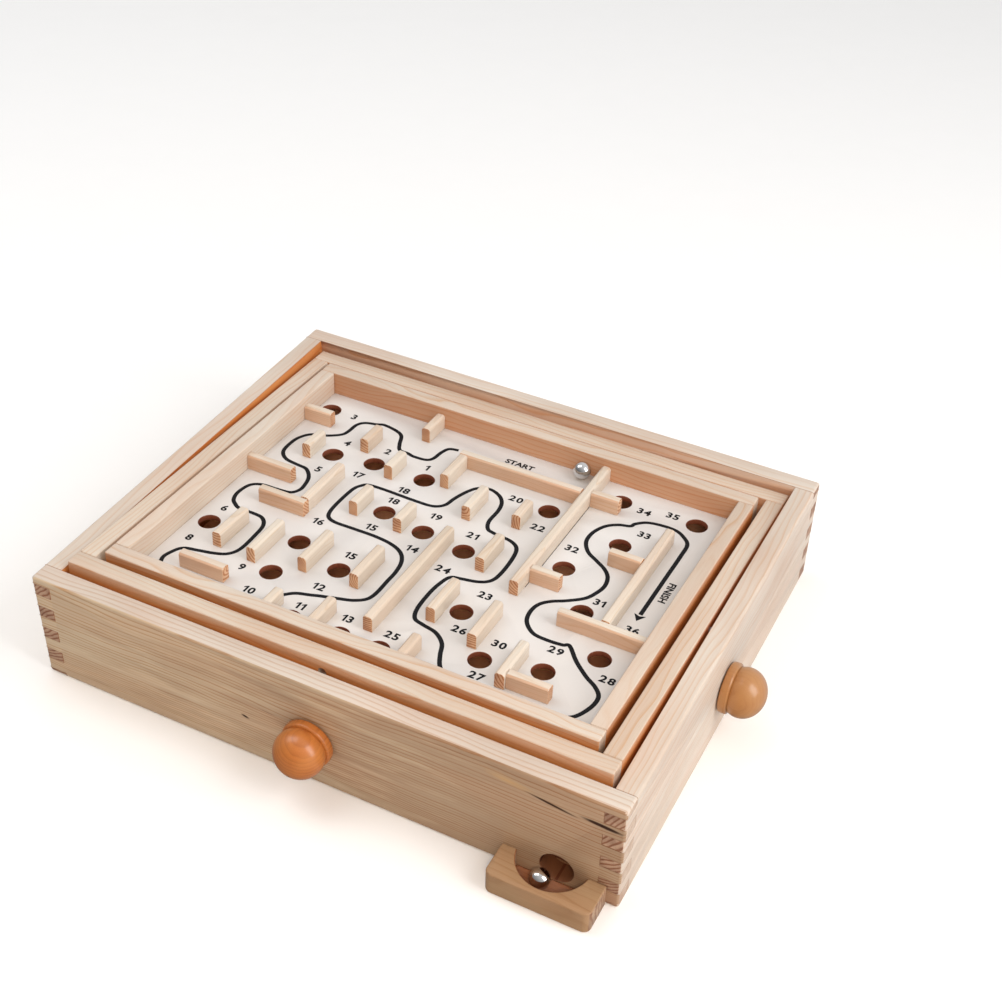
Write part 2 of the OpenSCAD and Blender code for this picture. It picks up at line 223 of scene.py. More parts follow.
def wood(name, pale, late, end_pale, end_late, ring_gap=2.6, crowding=0.006, contrast=0.75, pith=(-22, 34),
         gloss=0.42, painted_shade=PAINTED_SHADE_TINT, waviness=24.0, drift_at=(0, 0, 0), marks=()):
    """Softwood: growth rings around a far pith, fibre streaks, resin flecks, slow drift and dark marks.

    `pale` and `late` are the colours of early and late wood, and the other two those on end grain. `pith`,
    `ring_gap` and `waviness` are in millimetres, and rings crowd further out by `crowding`. Faces are
    darkened towards a warm tint by their share of painted shade, and some marks show only as far as the
    face carries painted shade.
    """
    t = Tree(name)
    p = t.scaled(t.attribute("grain"), PER_MM)
    end = t.attribute("end", "Fac")
    along = t.split(p)

    wander = t.noise(t.scaled(p, (0.006, 0.02, 0.02)), detail=3)
    ripple = t.noise(t.scaled(p, (0.03, 0.25, 0.25)), detail=3)
    y = t.math("SUBTRACT", along[1], pith[0])
    z = t.math("SUBTRACT", along[2], pith[1])
    radius = t.length(t.join(0.0, y, z))
    radius = t.math("ADD", radius, t.math("MULTIPLY", wander, waviness))
    radius = t.math("ADD", radius, t.math("MULTIPLY", ripple, 0.8))
    crowded = t.math("MULTIPLY_ADD", radius, crowding, 1.0)
    turn = t.math("MULTIPLY", t.math("DIVIDE", radius, ring_gap), crowded)
    ring = t.math("FRACT", turn)
    year = t.noise(t.join(t.math("FLOOR", turn), 0.37, 0.61), detail=0)
    year_dark = t.between(year, 0.35, 0.65, 0.25, 1.0)
    late_wood = t.ramp(ring, [(0.0, 0.2), (0.10, 0.0), (0.60, 0.05), (0.84, 0.6), (0.93, 1.0), (1.0, 0.4)])
    late_wood = t.math("MULTIPLY", late_wood, year_dark)
    end_ring = t.ramp(ring, [(0.0, 0.35), (0.12, 0.0), (0.50, 0.10), (0.70, 0.9), (0.92, 1.0), (1.0, 0.5)])

    fibre = t.noise(t.scaled(p, (0.05, 3.2, 3.2)), detail=4, rough=0.65)
    fibre_dark = t.between(fibre, 0.35, 0.72)
    drift = t.noise(t.scaled(p, (0.009, 0.03, 0.03), drift_at), detail=2)
    blush = t.noise(t.scaled(p, (0.014, 0.07, 0.07), (4, 1, 8)), detail=2)
    fleck = t.noise(t.scaled(p, (0.35, 5.0, 5.0), (3, 7, 1)), detail=2)

    painted_shade_share = t.attribute("painted_shade", "Fac")
    # Rings show more strongly where the face carries painted shade
    strong = t.math("MULTIPLY", t.math("MULTIPLY_ADD", painted_shade_share, 0.5, 1.0), contrast)
    rosy = t.mix(1.0, pale, (1.0, 0.93, 0.90), "MULTIPLY")
    colour = t.mix(t.between(blush, 0.40, 0.62, 0.0, 0.8), pale, rosy)
    colour = t.mix(t.math("MULTIPLY", late_wood, strong), colour, late)
    colour = t.mix(t.math("MULTIPLY", fibre_dark, 0.16), colour, late, "MULTIPLY")
    colour = t.mix(t.between(drift, 0.35, 0.68, 0.0, 0.30), colour, late, "MULTIPLY")
    colour = t.mix(t.between(fleck, 0.69, 0.76, 0.0, 0.35), colour, late, "MULTIPLY")
    # Painted shade: the colour is multiplied towards the warm tint by the face's share of it
    colour = t.mix(painted_shade_share, colour, painted_shade, "MULTIPLY")

    pore = t.noise(t.scaled(p, (1.5, 4.5, 4.5)), detail=3)
    blotch = t.noise(t.scaled(p, (0.2, 0.16, 0.16), (9, 2, 5)), detail=2)
    end_colour = t.mix(end_ring, end_pale, end_late)
    end_colour = t.mix(t.between(pore, 0.4, 0.7, 0.0, 0.35), end_colour, end_late, "MULTIPLY")
    end_colour = t.mix(t.between(blotch, 0.42, 0.66, 0.0, 0.4), end_colour, end_late, "MULTIPLY")
    colour = t.mix(end, colour, end_colour)
    # Seams: dark glue lines, and painted shade in the gaps
    colour = t.mix(t.math("MULTIPLY", t.attribute("seam", "Fac"), 0.6), colour, SEAM_COLOUR)
    for mark in marks:
        share = t.mark(along, ripple, mark)
        # Such a mark shows only as far as the face carries painted shade
        if mark.get("on_painted_shade"):
            colour = t.mix(t.math("MULTIPLY", share, painted_shade_share), colour, mark["colour"], "MULTIPLY")
        else:
            colour = t.mix(share, colour, mark["colour"])

    height = t.math("SUBTRACT", t.math("MULTIPLY", late_wood, 0.55), t.math("MULTIPLY", fibre_dark, 0.6))
    t.bump(height, 0.00010, 0.5)
    rough = t.between(fibre, 0.3, 0.7, gloss - 0.06, gloss + 0.12)
    return t.finish(colour, rough, Specular_IOR_Level=0.4)


def steel(name, tint, gloss, brushed=True):
    """Bare steel with fine drawing lines, or polished steel with faint scuffs."""
    t = Tree(name)
    p = t.object_mm()
    lines = t.noise(t.scaled(p, (0.4, 6, 6) if brushed else (0.9, 0.9, 0.9)), detail=4, rough=0.6)
    smudge = t.noise(t.scaled(p, (0.25, 0.25, 0.25)), detail=2)
    colour = t.mix(t.between(smudge, 0.35, 0.7, 0.0, 0.25), tint, (0.42, 0.41, 0.40))
    t.bump(lines, 0.00002 if brushed else 0.000004, 0.4)
    return t.finish(colour, t.between(lines, 0.3, 0.7, gloss, gloss + 0.1), Metallic=1.0)


def hardboard(name, tint, dark, shade_at=None):
    """Pressed fibre board: fine mottling, short fibres, a burnished face and painted shade round a point."""
    t = Tree(name)
    p = t.object_mm()
    mottle = t.noise(t.scaled(p, (0.9, 0.9, 0.9)), detail=5, rough=0.7)
    fibres = t.noise(t.scaled(p, (0.3, 2.6, 1.0)), detail=3, rough=0.6, distortion=1.2)
    wear = t.noise(t.scaled(p, (0.02, 0.03, 0.03)), detail=3)
    colour = t.mix(t.between(mottle, 0.35, 0.65, 0.0, 0.75), tint, dark)
    colour = t.mix(t.between(fibres, 0.55, 0.75, 0.0, 0.4), colour, dark)
    colour = t.mix(t.between(wear, 0.45, 0.7, 0.0, 0.3), colour, tint)
    # Painted shade: the board is made dark round the point
    if shade_at:
        x, y, _ = t.split(p)
        dx, dy = t.math("SUBTRACT", x, shade_at[0]), t.math("SUBTRACT", y, shade_at[1])
        away = t.length(t.join(dx, dy, 0.0))
        colour = t.mix(t.between(away, 16, 30, 0.9, 0.0), colour, (0.10, 0.03, 0.015))
    t.bump(t.math("ADD", mottle, fibres), 0.00008, 0.5)
    return t.finish(colour, t.between(mottle, 0.3, 0.7, 0.5, 0.72))


def print_white(name):
    """Off-white printed face: a little paper tooth, uneven ink and rolling marks."""
    t = Tree(name)
    p = t.object_mm()
    tooth = t.noise(t.scaled(p, (3.0, 3.0, 3.0)), detail=4, rough=0.6)
    cloud = t.noise(t.scaled(p, (0.018, 0.018, 0.018)), detail=3)
    scuff = t.noise(t.scaled(p, (0.10, 1.1, 1.0)), detail=3, rough=0.7, distortion=0.6)
    colour = t.mix(t.between(cloud, 0.35, 0.65), (0.690, 0.665, 0.650), (0.65, 0.62, 0.60))
    colour = t.mix(t.between(tooth, 0.45, 0.75, 0.0, 0.25), colour, (0.62, 0.58, 0.53))
    colour = t.mix(t.between(scuff, 0.66, 0.8, 0.0, 0.25), colour, (0.55, 0.50, 0.44))
    t.bump(tooth, 0.00003, 0.35)
    return t.finish(colour, t.between(tooth, 0.3, 0.7, 0.42, 0.58))


def ink(name):
    """Black printing ink: slightly uneven cover, with a soft gloss."""
    t = Tree(name)
    p = t.object_mm()
    cover = t.noise(t.scaled(p, (2.2, 2.2, 2.2)), detail=4, rough=0.7)
    colour = t.mix(t.between(cover, 0.55, 0.8, 0.0, 0.5), (0.006, 0.006, 0.008), (0.035, 0.033, 0.034))
    t.bump(cover, 0.00002, 0.3)
    return t.finish(colour, t.between(cover, 0.3, 0.7, 0.5, 0.65), Specular_IOR_Level=0.15)


def lacquered(name, honey, streak, cloudy, streaks):
    """Turned hardwood under clear lacquer: `honey` wood with `streak` rings and fibres and `cloudy` areas."""
    t = Tree(name)
    p = t.scaled(t.attribute("grain"), PER_MM)
    across = t.split(p)
    radius = t.length(t.join(0.0, t.math("SUBTRACT", across[1], 31.0), t.math("SUBTRACT", across[2], 9.0)))
    wander = t.noise(t.scaled(p, (0.02, 0.06, 0.06)), detail=2)
    ring = t.math("FRACT", t.math("DIVIDE", t.math("ADD", radius, t.math("MULTIPLY", wander, 7.0)), 2.1))
    late_wood = t.ramp(ring, [(0.0, 0.2), (0.2, 0.0), (0.7, 0.5), (0.9, 1.0), (1.0, 0.2)])
    fibre = t.noise(t.scaled(p, (0.25, 4.0, 4.0)), detail=4, rough=0.6)
    cloud = t.noise(t.scaled(p, (0.07, 0.09, 0.09)), detail=2)
    colour = t.mix(t.math("MULTIPLY", late_wood, streaks), honey, streak)
    colour = t.mix(t.between(fibre, 0.4, 0.75, 0.0, 0.4), colour, streak)
    colour = t.mix(t.between(cloud, 0.35, 0.7, 0.0, 0.45), colour, cloudy)
    t.bump(fibre, 0.00003, 0.2)
    return t.finish(colour, t.between(fibre, 0.3, 0.7, 0.34, 0.46), Coat_Weight=0.55, Coat_Roughness=0.16,
                    Specular_IOR_Level=0.4)


# Colours of pine: early and late wood along the grain, on end grain, and on the ends of the box's fingers
PALE = (0.665, 0.600, 0.530)
LATE = (0.600, 0.375, 0.215)
END_PALE = (0.640, 0.520, 0.420)
END_LATE = (0.540, 0.390, 0.290)
FINGER_PALE = (0.520, 0.340, 0.230)
FINGER_LATE = (0.280, 0.115, 0.060)

# Marks on the front panel, from the middle of the panel: its outer face is darker to the right, then a resin
# stain, the two lengths of the crack beside it, a reddish painted shadow of the tray on the lower right
# corner, a knot and two short streaks
CRACK = (0.045, 0.016, 0.008)
FRONT_MARKS = [
    {"x": 120, "z": 0, "long": 190, "high": 400, "core": 0.4, "strength": 0.95, "colour": (0.68, 0.60, 0.56),
     "on_painted_shade": True},
    {"x": 97, "z": 51.4, "long": 12, "high": 2.4, "slope": -0.12, "core": 0.0, "strength": 0.5,
     "colour": (0.62, 0.36, 0.13)},
    {"x": 116, "z": 47.9, "long": 12, "high": 0.8, "slope": -0.14, "strength": 1.0, "colour": CRACK},
    {"x": 139, "z": 47.2, "long": 9, "high": 1.0, "slope": -0.06, "core": 0.6, "strength": 1.0,
     "colour": CRACK},
    # Painted shadow of the tray on the panel's lower right corner
    {"x": 147, "z": 4, "long": 5, "high": 6, "core": 0.3, "strength": 0.5, "colour": (0.42, 0.20, 0.11)},
    {"x": -34.9, "z": 24.6, "long": 2.2, "high": 0.8, "slope": -0.25, "strength": 1.0, "colour": CRACK},
    {"x": -22, "z": 33.0, "long": 4.5, "high": 0.35, "slope": -0.05, "strength": 0.7,
     "colour": (0.22, 0.10, 0.05)},
    {"x": 14, "z": 34.5, "long": 5.0, "high": 0.3, "slope": -0.04, "strength": 0.6,
     "colour": (0.24, 0.11, 0.06)},
]

MATERIALS = {
    # The front panel's painted shade has a paler, yellower warm tint
    "front_wood": wood("front_wood", PALE, (0.480, 0.270, 0.135), END_PALE, END_LATE, ring_gap=3.3,
                       crowding=0.010, pith=(-20, 74), contrast=0.75, painted_shade=(1.0, 0.900, 0.720),
                       waviness=15.0, drift_at=(5, 0, 0), marks=FRONT_MARKS),
    "box_wood": wood("box_wood", PALE, LATE, FINGER_PALE, FINGER_LATE, ring_gap=4.2, pith=(-30, 48)),
    "ring_wood": wood("ring_wood", (0.655, 0.575, 0.485), LATE, END_PALE, END_LATE, ring_gap=4.0,
                      pith=(-36, 30)),
    "frame_wood": wood("frame_wood", (0.665, 0.585, 0.500), LATE, END_PALE, END_LATE, ring_gap=3.6,
                       pith=(30, -38)),
    "wall_wood": wood("wall_wood", (0.720, 0.650, 0.560), (0.620, 0.440, 0.280), (0.760, 0.500, 0.310),
                      (0.460, 0.180, 0.065), ring_gap=1.8, pith=(11, 14), contrast=0.55),
    # The tray's pine is painted darker and warmer: painted shade for the tray, which lies in shade
    "tray_wood": wood("tray_wood", (0.430, 0.275, 0.150), (0.320, 0.165, 0.070), (0.470, 0.310, 0.200),
                      (0.300, 0.150, 0.080), ring_gap=4.4, pith=(-24, 26), painted_shade=(0.780, 0.440, 0.280)),
    # The pine pieces inside the box are painted very dark: painted shade for the inside of the box
    "inner_wood_shaded": wood("inner_wood_shaded", (0.280, 0.120, 0.055), (0.200, 0.080, 0.035), (0.260, 0.110, 0.050),
                       (0.180, 0.070, 0.030), ring_gap=2.4, gloss=0.6),
    # Near-black wood for the wall of the exit hole: painted shade inside the hole
    "exit_shade_wood": wood("exit_shade_wood", (0.170, 0.050, 0.020), (0.110, 0.030, 0.012), (0.140, 0.040, 0.016),
                         (0.090, 0.025, 0.010), ring_gap=3.3),
    "pin_steel": steel("pin_steel", (0.63, 0.63, 0.65), 0.28),
    "ball_steel": steel("ball_steel", (0.74, 0.73, 0.73), 0.03, brushed=False),
    "base_board": hardboard("base_board", (0.36, 0.18, 0.09), (0.24, 0.11, 0.05)),
    # The ramp carries painted shade round the exit hole, where it is seen through the hole
    "ramp_board": hardboard("ramp_board", (0.96, 0.44, 0.23), (0.86, 0.35, 0.17), shade_at=(121, -118)),
    "hole_board": hardboard("hole_board", (0.25, 0.075, 0.036), (0.17, 0.045, 0.022)),
    "print_white": print_white("print_white"),
    "print_ink": ink("print_ink"),
    "front_knob": lacquered("front_knob_lacquer", (0.50, 0.155, 0.028), (0.28, 0.068, 0.011),
                            (0.58, 0.225, 0.053), 0.55),
    # Paler, less streaked copy of the front knob's lacquer: painted light from the right
    "right_knob": lacquered("right_knob_lacquer_painted_light", (0.41, 0.180, 0.057), (0.31, 0.113, 0.030),
                            (0.47, 0.250, 0.094), 0.35),
}


# Pieces cut from CAD nodes, with their edges eased

WELD = 0.002 * MM
FLAT_ANGLE = math.radians(0.6)
SHARP_ANGLE = math.radians(30)


def welded(node, placed):
    """The node's CAD mesh as clean flat faces, before `placed` is applied."""
    bm = bmesh.new()
    bm.from_mesh(frame["nodes"][node].data)
    bmesh.ops.remove_doubles(bm, verts=bm.verts, dist=WELD)
    bmesh.ops.dissolve_limit(bm, angle_limit=FLAT_ANGLE, verts=bm.verts, edges=bm.edges)
    bm.transform(placed.inverted())
    return bm


def sharp(edge):
    return len(edge.link_faces) == 2 and edge.calc_face_angle(0.0) > SHARP_ANGLE


def every_edge(edge):
    return True


def eased(bm, name, wide, narrow, outer, segments=3):
    """A mesh object whose edges are rounded by `wide` where `outer` says so, and by `narrow` elsewhere."""
    weights = bm.edges.layers.float.new("bevel_weight_edge")
    for edge in bm.edges:
        if sharp(edge):
            edge[weights] = 1.0 if outer(edge) else narrow / wide
    mesh = bpy.data.meshes.new(name)
    bm.to_mesh(mesh)
    bm.free()
    for polygon in mesh.polygons:
        polygon.use_smooth = True
    rough = bpy.data.objects.new(name + "_rough", mesh)
    bpy.context.scene.collection.objects.link(rough)
    bevel = rough.modifiers.new("ease", "BEVEL")
    bevel.width = wide
    bevel.segments = segments
    bevel.limit_method = "WEIGHT"
    bevel.use_clamp_overlap = False
    bevel.harden_normals = True
    bevel.miter_outer = "MITER_ARC"
    shape = bpy.data.meshes.new_from_object(rough.evaluated_get(bpy.context.evaluated_depsgraph_get()))
    bpy.data.objects.remove(rough)
    shape.name = name
    piece = bpy.data.objects.new(name, shape)
    bpy.context.scene.collection.objects.link(piece)
    return piece


GRAIN_TURN = {
    "X": Matrix(((1, 0, 0), (0, 1, 0), (0, 0, 1))),
    "Y": Matrix(((0, 1, 0), (1, 0, 0), (0, 0, 1))),
    "Z": Matrix(((0, 0, 1), (0, 1, 0), (1, 0, 0))),
}


def near_faces(point, low, high, reach=1.3 * MM):
    """How many of a box's faces, counted once for each direction, are near a point."""
    return sum(min(abs(point[i] - low[i]), abs(point[i] - high[i])) < reach for i in range(3))


def add_grain(piece, along, shift=(0.0, 0.0, 0.0), centre=Vector((0, 0, 0)), painted_shade_at=None, shell=None):
    """Writes the piece's "grain" coordinates, in metres, and marks its faces for the wood materials.

    The function for painted shade gives its share at a face's corner, from the point and the face's normal.
    The seams are the narrow eased edges that lie inside the outer box `shell`.
    """
    mesh = piece.data
    turn = GRAIN_TURN[along]
    grain = mesh.attributes.new("grain", "FLOAT_VECTOR", "POINT")
    for vertex, item in zip(mesh.vertices, grain.data):
        item.vector = turn @ (vertex.co - centre) + Vector(shift)
    fibres = turn.inverted() @ Vector((1, 0, 0))
    end, seam = (mesh.attributes.new(name, "FLOAT", "FACE") for name in ("end", "seam"))
    painted_shade = mesh.attributes.new("painted_shade", "FLOAT", "CORNER")
    for i, polygon in enumerate(mesh.polygons):
        normal = polygon.normal
        flat = max(abs(c) for c in normal) > 0.99
        end.data[i].value = float(abs(normal.dot(fibres)) > 0.8)
        # The share of painted shade at each corner of the face
        if painted_shade_at:
            for corner in polygon.loop_indices:
                point = mesh.vertices[mesh.loops[corner].vertex_index].co
                painted_shade.data[corner].value = float(painted_shade_at(point, normal))
        if shell and not flat:
            seam.data[i].value = float(near_faces(polygon.center, *shell) < 2)


def place(piece, placed, body, slot, *nodes):
    """Moves the piece by `placed` and has it ride its body, in place of the CAD nodes given."""
    piece.data.transform(placed)
    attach(piece, body)
    if nodes:
        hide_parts(*nodes)
    return piece


def paint(piece, *names):
    piece.data.materials.clear()
    for name in names:
        piece.data.materials.append(MATERIALS[name])


def wood_piece(node, material, along, shift, wide, narrow, outer, placed=LEVEL, painted_shade_at=None, shell=None):
    """A CAD node as a piece of wood with eased edges and its own grain."""
    piece = eased(welded(node, placed), node + "_wood", wide, narrow, outer)
    low, high = extent(cad_points(node, placed))
    add_grain(piece, along, shift, (low + high) / 2, painted_shade_at, shell)
    paint(piece, material)
    return place(piece, placed, NODE_BODY[node], NODE_SLOT[node], node)


def on_faces(low, high, tolerance=0.05 * MM):
    """A test for edges that lie along two outer faces of a box at once."""
    def test(edge):
        a, b = edge.verts[0].co, edge.verts[1].co
        hits = 0
        for i in range(3):
            for face in (low[i], high[i]):
                hits += abs(a[i] - face) < tolerance and abs(b[i] - face) < tolerance
        return hits >= 2
    return test


def box_shell():
    """The box's outer faces, which the four panels share."""
    corners = [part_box(node) for node in ("front_panel", "back_panel", "left_panel", "right_panel")]
    return extent([corner for pair in corners for corner in pair])


SHELL_LOW, SHELL_HIGH = box_shell()


# The hole that the balls roll out of, in the front panel
EXIT_X, EXIT_Z, EXIT_R = 121 * MM, 9.7 * MM, 8 * MM

# How far the edges of the wood are rounded
PANEL_EASE = 1.5 * MM
SEAM_EASE = 0.2 * MM
FRAME_EASE = 0.8 * MM
FRAME_SEAM_EASE = 0.3 * MM
WALL_EASE = 0.35 * MM
HOLE_EASE = 0.12 * MM
TRAY_EASE = 0.8 * MM
HIDDEN_EASE = 0.4 * MM
GUIDE_EASE = 0.1 * MM

# How far a strip's points may lie outside its own box
WALL_REACH = 0.01 * MM

TO_PLAYER = Vector((0, -1, 0))

# A frame bar's outer face has this share of painted shade at its top, and gains a whole share over
# this height
TOP_SHADE_SHARE = 0.5
SHADE_GROWTH_HEIGHT = 10 * MM


def painted_shade_facing(direction, share=1.0):
    """Painted shade on the faces that look along a direction; the others carry none."""
    return lambda point, normal: share if normal.dot(direction) > 0.7 else 0.0


def frame_painted_shade(top, front_share):
    """Painted shade: outer faces darken down from a bar's top; inner ones that face the player, a little."""
    def shade_of(point, normal):
        if abs(normal.z) > 0.3:
            return 0.0
        if normal.dot(Vector((point.x, point.y, 0))) > 0:
            share = front_share if normal.y < -0.7 else 1.0
            return share * (TOP_SHADE_SHARE + (top - point.z) / SHADE_GROWTH_HEIGHT)
        return 0.6 if normal.y < -0.7 else 0.0
    return shade_of


def make_panels():
    """The four box panels. Their inner faces carry painted shade, and so does the front's outer face."""
    shell = (SHELL_LOW, SHELL_HIGH)
    outer = on_faces(*shell)
    eases = (PANEL_EASE, SEAM_EASE)
    looks = (("front_panel", "front_wood", "X", (0, 0, SHELL_HIGH.z / 2)),
             ("back_panel", "box_wood", "X", (0.9, 0.004, 0.004)),
             ("left_panel", "box_wood", "Y", (1.7, 0.002, -0.006)),
             ("right_panel", "box_wood", "Y", (2.9, -0.003, 0.003)))
    # Painted shade on each panel: both broad faces of the front, and the inner faces of the others
    shade_on = {"front_panel": lambda point, normal: float(abs(normal.y) > 0.7),
            "back_panel": painted_shade_facing(TO_PLAYER, 0.45),
            "left_panel": painted_shade_facing(Vector((1, 0, 0))),
            "right_panel": painted_shade_facing(Vector((-1, 0, 0)))}
    for node, material, along, shift in looks:
        piece = wood_piece(node, material, along, shift, *eases, outer, LEVEL, shade_on[node], shell)
        if node == "front_panel":
            darken_exit(piece)


def darken_exit(panel):
    """The wall of the hole the balls roll out of is painted very dark: painted shade inside the hole."""
    paint(panel, "front_wood", "exit_shade_wood")
    for polygon in panel.data.polygons:
        away = math.hypot(polygon.center.x - EXIT_X, polygon.center.z - EXIT_Z)
        in_hole = abs(polygon.normal.y) < 0.3 and away < EXIT_R + 0.1 * MM
        polygon.material_index = int(in_hole)


def make_frames():
    """The bars of the outer frame, called the ring, and of the inner frame."""
    for i, (side, along) in enumerate((("front", "X"), ("back", "X"), ("left", "Y"), ("right", "Y"))):
        for name, material in (("ring", "ring_wood"), ("frame", "frame_wood")):
            node = f"{name}_{side}"
            low, high = extent(cad_points(node, TILT))
            shift = (0.37 * i + len(name), 0.003 * i, 0.004 * i)
            outer = on_faces(low, high)
            shade_of = frame_painted_shade(high.z, 0.85 if name == "ring" else 1.0)
            wood_piece(node, material, along, shift, FRAME_EASE, FRAME_SEAM_EASE, outer, TILT, shade_of)


def islands(bm):
    """The separate closed bodies in a bmesh, each as a list of faces, in the order of their first faces."""
    left = set(bm.faces)
    found = []
    for first in bm.faces:
        if first not in left:
            continue
        left.remove(first)
        group, stack = [], [first]
        while stack:
            face = stack.pop()
            group.append(face)
            for edge in face.edges:
                for other in edge.link_faces:
                    if other in left:
                        left.remove(other)
                        stack.append(other)
        found.append(group)
    return found


def make_walls():
    """Each maze wall, one strip at a time, with its grain along the strip."""
    walls = [node for node, slot in NODE_SLOT.items() if slot == "wall_pine"]
    for i, node in enumerate(walls):
        whole = welded(node, TILT)
        strips = [extent([v.co for face in group for v in face.verts]) for group in islands(whole)]
        whole.free()
        for k, (low, high) in enumerate(strips):
            strip = welded(node, TILT)
            others = [v for v in strip.verts
                      if any(not low[a] - WALL_REACH <= v.co[a] <= high[a] + WALL_REACH for a in range(3))]
            bmesh.ops.delete(strip, geom=others, context="VERTS")
            piece = eased(strip, f"{node}_strip_{k + 1}", WALL_EASE, WALL_EASE, every_edge, segments=2)
            along = "X" if high.x - low.x > high.y - low.y else "Y"
            shift = (0.13 * i + 0.05 * k, 0.003 * (i % 5), 0.002 * (i % 7))
            # Faces that look to the player carry some painted shade
            add_grain(piece, along, shift, (low + high) / 2, painted_shade_facing(TO_PLAYER, 0.42))
            paint(piece, "wall_wood")
            place(piece, TILT, NODE_BODY[node], NODE_SLOT[node], node)


def make_board():
    """The maze board: printed white on top, with brown edges and holes."""
    blank = welded("maze_board", TILT)
    piece = eased(blank, "maze_board_printed", HOLE_EASE, HOLE_EASE, every_edge, segments=2)
    paint(piece, "print_white", "hole_board")
    for polygon in piece.data.polygons:
        polygon.material_index = 0 if polygon.normal.z > 0.97 else 1
    place(piece, TILT, "board", "printed_board", "maze_board")


# Printing on the board

PRINT_LIFT = 0.05 * MM
PATH_WIDTH = 2.15 * MM
THIN_LINE = 0.35 * MM
NUMBER_HEIGHT = 4.7 * MM
WORD_HEIGHT = 3.9 * MM
LETTER_BOLD = 0.036
LETTER_STRETCH = 1.1

# The printed route, in millimetres from the middle of the board
ROUTE_LEFT = [
    (-32, 75.5), (-37, 74), (-39, 69), (-40, 62), (-43, 59), (-50, 58.5), (-54, 59.5), (-59, 60), (-62, 65),
    (-65, 72), (-70, 75), (-78, 76.5), (-82, 75), (-88, 73), (-91, 69), (-91.5, 62), (-93, 57), (-99.5, 52),
    (-107, 49), (-111, 43), (-112, 36), (-111, 28), (-106, 23), (-98, 21.5), (-92, 20.5), (-87, 15), (-85, 8),
    (-85, 3), (-88, -1), (-96, -2), (-104, -2.5), (-109, -6), (-110.5, -14), (-109, -20), (-106, -23),
    (-102, -25), (-94, -25), (-88, -26), (-84, -31), (-83, -40), (-83, -52), (-86, -58), (-92, -61),
    (-100, -63), (-107, -65), (-110, -70), (-111, -76), (-107, -82), (-98, -84), (-80, -84), (-60, -84),
    (-52, -80), (-49, -74), (-46.5, -71), (-42, -67), (-35, -64.5), (-31, -63), (-23, -60.5), (-16, -58),
    (-11, -54), (-9.5, -48), (-9.5, -38), (-9.5, -30), (-11, -22), (-15, -16), (-22, -12.5), (-32, -11),
    (-45, -11), (-55, -11), (-60, -9), (-62, -4), (-62.5, 5), (-62, 17), (-60, 22), (-57, 24.5), (-48, 25),
    (-38, 24.7), (-30, 24.5), (-20, 25), (-15, 29), (-13.5, 36), (-11, 44), (-7.5, 50), (-1.5, 52.5),
    (5, 50), (9, 45), (10.5, 38), (10.5, 28), (13, 22), (17, 20.5), (20, 20), (27, 19), (32, 15.5), (34, 8),
    (34.5, -5), (33, -13), (28, -17), (20, -19), (15, -20.5), (13, -26), (12, -35), (12.5, -48), (15, -55),
    (20, -57), (28, -59), (34, -64), (37, -71), (40, -77), (44, -82),
]
ROUTE_RIGHT = [
    (44, -82), (52, -85.5), (70, -86.5), (90, -85.5), (99, -83), (103, -80), (107, -76), (110, -68),
    (110, -61),
    (106, -56), (100, -52), (92, -45), (85, -37), (82, -38), (75, -38.5), (67, -37.5), (61, -32), (59, -25),
    (60, -18), (64, -13), (70, -9), (77, -3), (80, 3), (81.5, 10), (80, 17), (76, 22), (70, 26), (64, 30),
    (60, 36), (59, 42), (60, 48), (63, 54), (68, 58), (73.5, 60), (75, 63), (80, 67), (88, 68.5), (95, 68),
    (100, 65), (104, 60), (104.5, 50), (104.5, 30), (104.5, 10), (104.5, -1),
]
ARROW_TIP = (104.5, -6)
ARROW_WIDTH = 6
ARROW_LENGTH = 5
ARROW_NOTCH = 0.78
WALL_LINE = 49

# Middles of the printed numbers; two of them are printed twice
NUMBERS = {
    "1": [(-38.5, 53)], "2": [(-63.5, 55.5)], "3": [(-96, 75)], "4": [(-86, 51.5)], "5": [(-86.5, 23.5)],
    "6": [(-108.5, -28.5)], "8": [(-109.5, -56.5)], "9": [(-74.5, -63)], "10": [(-62, -75.5)],
    "11": [(-35, -73.5)], "12": [(-35, -57.5)], "13": [(-11.5, -70.5)], "14": [(-11.5, -10.5)],
    "15": [(-37.5, -5.5), (-34.5, -30)], "16": [(-62.5, -14.5)], "17": [(-66, 29.5)],
    "18": [(-39, 29.5), (-39, 19)], "19": [(-14, 18)], "20": [(14, 51.5)], "21": [(9, 13.5)],
    "22": [(34, 35.5)], "23": [(35.5, -24.5)], "24": [(9, -17)], "25": [(12, -70.5)],
    "26": [(36.5, -52)], "27": [(57.7, -75.5)], "28": [(109.2, -49.5)], "29": [(81, -43)],
    "30": [(57, -52)], "31": [(84.5, -2.5)], "32": [(56, 28.5)], "33": [(82.5, 56.5)],
    "34": [(75, 74.5)], "35": [(89, 78.5)], "36": [(105.5, -13)],
}
START_AT = (2, 80)
FINISH_AT = (109.5, 20)


def smooth_line(points, steps=6):
    """A Catmull-Rom line through the points, in metres on the board."""
    ends = [points[0]] + list(points) + [points[-1]]
    line = []
    for i in range(1, len(ends) - 2):
        a, b, c, d = (Vector(ends[k]) for k in (i - 1, i, i + 1, i + 2))
        for k in range(steps):
            t = k / steps
            line.append(0.5 * (2 * b + (c - a) * t + (2 * a - 5 * b + 4 * c - d) * t * t
                               + (3 * b - a - 3 * c + d) * t * t * t))
    line.append(Vector(points[-1]))
    return [p * MM for p in line]


